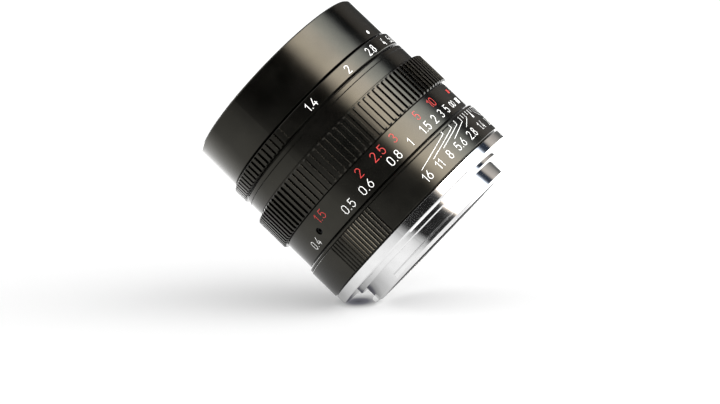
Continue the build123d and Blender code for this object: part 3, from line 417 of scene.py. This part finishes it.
def paint(name, colour, shine=0.3):
    """Enamel filled into engraving."""
    material, tree = new_material(name)
    where = tree.add("ShaderNodeTexCoord").outputs["Object"]
    grain = tree.noise(where, 2500.0, 2.0)
    shade = tree.ramp(grain, [(0.3, tuple(0.88 * part for part in colour)), (0.7, colour)])
    bump = tree.add("ShaderNodeBump", {"Strength": 0.2, "Distance": 0.01 * MM, "Height": grain})
    rough = tree.scaled(grain, 0.0, 1.0, 0.3, 0.45)
    shader = tree.add(
        "ShaderNodeBsdfPrincipled",
        {"Base Color": shade, "Roughness": rough, "Normal": bump.outputs[0], "Specular IOR Level": shine},
    )
    tree.add("ShaderNodeOutputMaterial", {"Surface": shader.outputs[0]})
    return material


def glass(name, coat):
    """Optical glass with a coating that tints its reflections."""
    material, tree = new_material(name)
    where = tree.add("ShaderNodeTexCoord").outputs["Object"]
    rough = tree.scaled(tree.noise(where, 300.0, 3.0), 0.0, 1.0, 0.0, 0.02)
    shader = tree.add(
        "ShaderNodeBsdfPrincipled",
        {
            "Base Color": (0.97, 0.99, 0.98, 1),
            "Roughness": rough,
            "IOR": 1.6,
            "Transmission Weight": 1.0,
            "Specular Tint": (*coat, 1),
        },
    )
    tree.add("ShaderNodeOutputMaterial", {"Surface": shader.outputs[0]})
    return material


black = anodised("black_anodised", (0.05, 0.048, 0.041), 0.19, grain=0.08, spread=0.03)
inner = anodised("matt_black", (0.02, 0.02, 0.02), 0.55)
chrome = bright_metal("chrome", (0.92, 0.92, 0.92), 0.055, grain=0.02)
brass = bright_metal("brass", (0.78, 0.6, 0.3), 0.25)
nut_brass = bright_metal("brass_black_front", (0.78, 0.6, 0.3), 0.25, black_from=34.5 * MM)
steel = bright_metal("steel", (0.5, 0.5, 0.52), 0.22)
blade_metal = anodised("blade_black", (0.025, 0.025, 0.026), 0.4)
white = paint("white_fill", (0.88, 0.88, 0.86))
red = paint("red_fill", (0.5, 0.03, 0.025), shine=0.5)
coatings = {
    "green": glass("glass_green_coat", (0.1, 0.25, 0.14)),
    "violet": glass("glass_violet_coat", (0.2, 0.11, 0.32)),
    "amber": glass("glass_amber_coat", (0.3, 0.2, 0.1)),
}

by_slot = {
    "black_anodised": black,
    "matt_black": inner,
    "chrome_mount": chrome,
    "brass": brass,
    "steel": steel,
    "blade_black": blade_metal,
}
finish_of = {"inner_barrel": black, "sleeve_grub_screws": blade_metal, "focus_helicoid": nut_brass}
coating_of = {
    "lens_1": "green",
    "lens_2": "violet",
    "lens_3": "amber",
    "lens_4": "violet",
    "lens_5": "green",
    "lens_6": "amber",
    "lens_7": "violet",
}
slot_of = {row["node"]: row["material_slot"] for row in frame["record"]["subparts"]}
for name, node in nodes.items():
    if name in coating_of:
        material = coatings[coating_of[name]]
    else:
        material = finish_of.get(name) or by_slot[slot_of[name]]
    for place in node.material_slots:
        place.material = material
    if not node.material_slots:
        node.data.materials.append(material)
    node.data.shade_smooth()
    node.data.set_sharp_from_angle(angle=SHARP_FROM)

# ---- engraved figures and lines ------------------------------------------------------------

LIFT = 0.012 * MM         # the fill stands this far out of the surface
DEPTH = 0.06 * MM         # and reaches this far into it
ARC_STEP = 15             # degrees between points of a round stroke
LINE_STEP = 1.2           # degrees round the lens between points of a long line
LOOP_STEPS = 32           # points of the infinity sign
MITRE_LIMIT = 0.45        # sharper corners of a stroke are cut short
CAP_TURNS = (30, 60, 85)  # degrees at the points of a round end
DEPTH_LINE_W = 0.155 * MM
FIGURE_W = 0.2 * MM       # width of a figure's strokes
FIGURE_SPACE = 0.25       # gap between figures, as a share of their height
POINT_WEIGHT = 1.35       # how much thicker a decimal point is than a stroke
SQUEEZE = 0.93            # width of the figures against their drawn width


def arc(x, y, across_r, up_r, start, end):
    count = max(2, round(abs(end - start) / ARC_STEP) + 1)
    turns = [math.radians(start + (end - start) * step / (count - 1)) for step in range(count)]
    return [(x + across_r * math.cos(t), y + up_r * math.sin(t)) for t in turns]


def infinity():
    points = []
    for step in range(LOOP_STEPS + 1):
        t = 2 * math.pi * step / LOOP_STEPS
        size = 0.6 / (1 + math.sin(t) ** 2)
        points.append((0.6 + size * math.cos(t), 0.5 + 1.8 * size * math.sin(t) * math.cos(t)))
    return points


# Each figure is drawn as strokes in a box one unit high; the second value is its width.
GLYPHS = {
    "0": (
        [arc(0.27, 0.72, 0.27, 0.28, 0, 180) + arc(0.27, 0.28, 0.27, 0.28, 180, 360) + [(0.54, 0.72)]],
        0.54,
    ),
    "1": ([[(0.0, 0.76), (0.24, 1.0), (0.24, 0.0)]], 0.26),
    "2": ([arc(0.27, 0.73, 0.26, 0.27, 165, -28) + [(0.0, 0.0), (0.54, 0.0)]], 0.54),
    "3": ([arc(0.26, 0.76, 0.24, 0.24, 150, -90) + arc(0.26, 0.26, 0.27, 0.26, 90, -150)], 0.53),
    "4": ([[(0.36, 1.0), (0.0, 0.26), (0.56, 0.26)], [(0.42, 0.5), (0.42, 0.0)]], 0.56),
    "5": ([[(0.48, 1.0), (0.07, 1.0), (0.03, 0.52)] + arc(0.26, 0.32, 0.27, 0.32, 138, -150)], 0.53),
    "6": ([[(0.4, 1.0)] + arc(0.27, 0.31, 0.27, 0.31, 150, 510)], 0.54),
    "8": ([arc(0.27, 0.77, 0.22, 0.23, -90, 270), arc(0.27, 0.27, 0.27, 0.27, 90, 450)], 0.54),
    ".": ([[(0.05, 0.03), (0.051, 0.03)]], 0.1),
    "~": ([infinity()], 1.2),
}


def ribbon(path, width):
    """The outline of a stroke with mitred corners and round ends, as left and right points."""
    half = width / 2
    closed = math.dist(path[0], path[-1]) < 1e-6 and len(path) > 3
    if closed:
        path = path[:-1]
    count = len(path)
    rows = []
    for number, (x, y) in enumerate(path):
        before = path[number - 1] if number or closed else None
        after = path[(number + 1) % count] if number < count - 1 or closed else None
        one = Vector((x - before[0], y - before[1])).normalized() if before else None
        two = Vector((after[0] - x, after[1] - y)).normalized() if after else None
        one = one or two
        two = two or one
        middle = (one + two).normalized()
        normal = Vector((-middle.y, middle.x))
        reach = half / max(MITRE_LIMIT, normal.dot(Vector((-one.y, one.x))))
        rows.append((Vector((x, y)) + normal * reach, Vector((x, y)) - normal * reach))
    if closed:
        return rows + rows[:1]
    for end, inward in ((0, 1), (-1, -1)):
        x, y = path[end]
        other = path[end + inward]
        way = Vector((x - other[0], y - other[1])).normalized()
        normal = Vector((-way.y, way.x)) * inward
        cap = []
        for degrees in CAP_TURNS:
            t = math.radians(degrees)
            centre = Vector((x, y)) + way * half * math.sin(t)
            cap.append((centre - normal * half * math.cos(t), centre + normal * half * math.cos(t)))
        rows = cap[::-1] + rows if end == 0 else rows + cap
    return rows


class Engraving:
    """Strokes wrapped on a cylinder about the optical axis, as one closed mesh per stroke."""

    def __init__(self, radius):
        self.radius = radius
        self.points = []
        self.faces = []

    def place(self, x, z, radius):
        turn = x / self.radius
        return (radius * math.cos(turn), radius * math.sin(turn), z)

    def strip(self, rows):
        """A closed strip between pairs of (distance round the surface, height) points."""
        start = len(self.points)
        for pair in rows:
            for radius in (self.radius + LIFT, self.radius - DEPTH):
                self.points += [self.place(x, height, radius) for x, height in pair]
        last = start + 4 * (len(rows) - 1)
        for a in range(start, last, 4):
            b = a + 4
            self.faces += [(a, a + 1, b + 1, b), (a + 2, b + 2, b + 3, a + 3)]
            self.faces += [(a, b, b + 2, a + 2), (a + 1, a + 3, b + 3, b + 1)]
        self.faces += [(start, start + 2, start + 3, start + 1), (last, last + 1, last + 3, last + 2)]

    def stroke(self, path, width):
        self.strip(ribbon(path, width))

    def write(self, text, angle, low, height):
        """A number centred on an angle, standing on the height low and reading round the axis."""
        tall = height - FIGURE_W
        space = FIGURE_SPACE * tall
        total = sum(GLYPHS[letter][1] for letter in text) * tall * SQUEEZE + space * (len(text) - 1)
        x = math.radians(angle) * self.radius - total / 2
        for letter in text:
            strokes, wide = GLYPHS[letter]
            width = FIGURE_W * (POINT_WEIGHT if letter == "." else 1.0)
            for path in strokes:
                placed = [(x + px * tall * SQUEEZE, low + FIGURE_W / 2 + py * tall) for px, py in path]
                self.stroke(placed, width)
            x += wide * tall * SQUEEZE + space

    def line(self, corners):
        """A line through (height, angle) corners, in steps short enough to follow the cylinder."""
        path = [(math.radians(corners[0][1]) * self.radius, corners[0][0])]
        for (low, start), (high, end) in zip(corners, corners[1:]):
            count = max(1, math.ceil(abs(end - start) / LINE_STEP))
            for step in range(1, count + 1):
                share = step / count
                angle = start + (end - start) * share
                path.append((math.radians(angle) * self.radius, low + (high - low) * share))
        self.stroke(path, DEPTH_LINE_W)

    def patch(self, corners):
        """A filled strip between pairs of (height, angle) corners."""
        self.strip([
            [(math.radians(angle) * self.radius, height) for height, angle in pair] for pair in corners
        ])

    def finish(self, name, material, body):
        mesh = bpy.data.meshes.new(name)
        mesh.from_pydata(self.points, [], self.faces)
        mesh.update()
        piece = new_object(name, mesh, material)
        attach(piece, body)


# aperture numbers: each stop and its angle from the index on the front barrel
aperture_marks = Engraving(APERTURE_R)
for text, angle in (
    ("1.4", 26.2),
    ("2", 52.8),
    ("2.8", 73.0),
    ("4", 88.1),
    ("5.6", 100.1),
    ("8", 110.3),
    ("11", 117.4),
    ("16", 123.9),
):
    aperture_marks.write(text, angle, 37.75 * MM, 2.35 * MM)
aperture_marks.finish("aperture_numbers", white, "aperture_body")

# distances in metres and feet, with a plain bar in place of each unit
UNIT_ANGLE = 97.3


def unit_bar(marks, low, high, step):
    angles = [UNIT_ANGLE + step * part for part in range(-2, 3)]
    marks.patch([((low, angle), (high, angle)) for angle in angles])


metre_marks = Engraving(SCALE_R)
for text, angle in (
    ("0.4", -28.05),
    ("0.5", 2.9),
    ("0.6", 16.0),
    ("0.8", 35.5),
    ("1", 46.7),
    ("1.5", 58.6),
    ("2", 66.6),
    ("3", 72.9),
    ("5", 79.2),
    ("~", 87.35),
):
    metre_marks.write(text, angle, 13.9 * MM, 2.5 * MM)
unit_bar(metre_marks, 14.3 * MM, 16.1 * MM, 1.3)
metre_marks.finish("distance_metres", white, "focus_body")

foot_marks = Engraving(SCALE_R)
for text, angle in (("1.5", -12.3), ("2", 18.4), ("2.5", 31.3), ("3", 42.1), ("5", 60.0), ("10", 73.9)):
    foot_marks.write(text, angle, 17.5 * MM, 2.6 * MM)
unit_bar(foot_marks, 17.9 * MM, 19.2 * MM, 0.9)
foot_marks.finish("distance_feet", red, "focus_body")

# depth of field scale, the same on both sides of the index
FRONT_EDGE = 11.55 * MM
depth_marks = Engraving(REAR_R)
# the index is a wedge that widens to the rear
depth_marks.patch([
    ((FRONT_EDGE, INDEX - 0.25), (FRONT_EDGE, INDEX + 0.25)),
    ((10.4 * MM, INDEX - 0.35), (10.4 * MM, INDEX + 0.35)),
    ((8.9 * MM, INDEX - 0.95), (8.9 * MM, INDEX + 0.95)),
])
depth_lines = (
    # angle from the index, height of the corner in mm, height and angle of the figure's end
    (28.3, 10.9, 8.2, 50.2),
    (21.6, 10.6, 8.1, 42.0),
    (17.1, 10.3, 8.3, 34.2),
    (12.2, 10.0, 8.1, 25.4),
    (6.6, 10.0, 8.2, 13.25),
    (9.4, 10.4, None, None),
    (3.3, 10.4, None, None),
)
figure_angles = {"16": 50.3, "11": 41.8, "8": 34.2, "5.6": 25.2, "2.8": 13.8, "1.4": 0.8}
for sign in (-1, 1):
    for angle, corner, end, end_angle in depth_lines:
        path = [(FRONT_EDGE, INDEX + sign * angle), (corner * MM, INDEX + sign * angle)]
        if end:
            path.append((end * MM, INDEX + sign * end_angle))
        depth_marks.line(path)
for text, angle in figure_angles.items():
    for sign in (-1, 1) if text != "1.4" else (-1,):
        depth_marks.write(text, INDEX + sign * angle, 4.9 * MM, 2.5 * MM)
depth_marks.finish("depth_scale", white, "mount_body")

# the dot that the aperture numbers are set against: a stroke with round ends and hardly any length
DOT_ANGLE = 86.4
DOT_Z = 43.4 * MM
DOT_W = 1.1 * MM
dot_marks = Engraving(FRONT_R)
dot_x = math.radians(DOT_ANGLE) * FRONT_R
dot_marks.stroke([(dot_x, DOT_Z), (dot_x + 0.001 * MM, DOT_Z)], DOT_W)
dot_marks.finish("aperture_index_dot", white, "optics_body")

# ---- crests of the filter thread --------------------------------------------------------------

THREAD_PITCH = 0.75 * MM
THREAD_DEPTH = 0.4 * MM
THREAD_TURNS = 3.6
THREAD_START_Z = FRONT_Z - 3.2 * MM
THREAD_STEPS = 96         # points round one turn
THREAD_RUN_OUT = 12       # points over which the crest grows at each end
THREAD_GAP = 0.01 * MM    # the root stands this far off the wall, so that nothing cuts into it
THREAD_LEAST = 0.01 * MM  # height of the crest where it starts
THREAD_HALF = (0.02 * MM, 0.3 * MM)


def thread_crest():
    """One long wedge wound inside the front rim, which grows at both ends out of almost nothing."""
    points, faces = [], []
    count = round(THREAD_TURNS * THREAD_STEPS)
    root = FILTER_R - THREAD_GAP
    for step in range(count + 1):
        way = outward(360 * step / THREAD_STEPS)
        height = THREAD_START_Z + THREAD_PITCH * step / THREAD_STEPS
        grown = min(1.0, step / THREAD_RUN_OUT, (count - step) / THREAD_RUN_OUT)
        half = THREAD_HALF[0] + THREAD_HALF[1] * grown
        tip = root - THREAD_DEPTH * grown - THREAD_LEAST
        for radius, z in ((root, height - half), (tip, height), (root, height + half)):
            points.append(way * radius + Vector((0, 0, z)))
    for step in range(count):
        a = 3 * step
        for one, two in ((0, 1), (1, 2), (2, 0)):
            faces.append((a + one, a + two, a + 3 + two, a + 3 + one))
    last = 3 * count
    faces += [(2, 1, 0), (last, last + 1, last + 2)]
    mesh = bpy.data.meshes.new("filter_thread_crest")
    mesh.from_pydata(points, [], faces)
    mesh.update()
    return mesh


crest = new_object("filter_thread_crest", thread_crest(), inner)
crest.data.shade_smooth()
crest.data.set_sharp_from_angle(angle=SHARP_FROM)
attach(crest, "optics_body")

scene.view_settings.view_transform = "Standard"
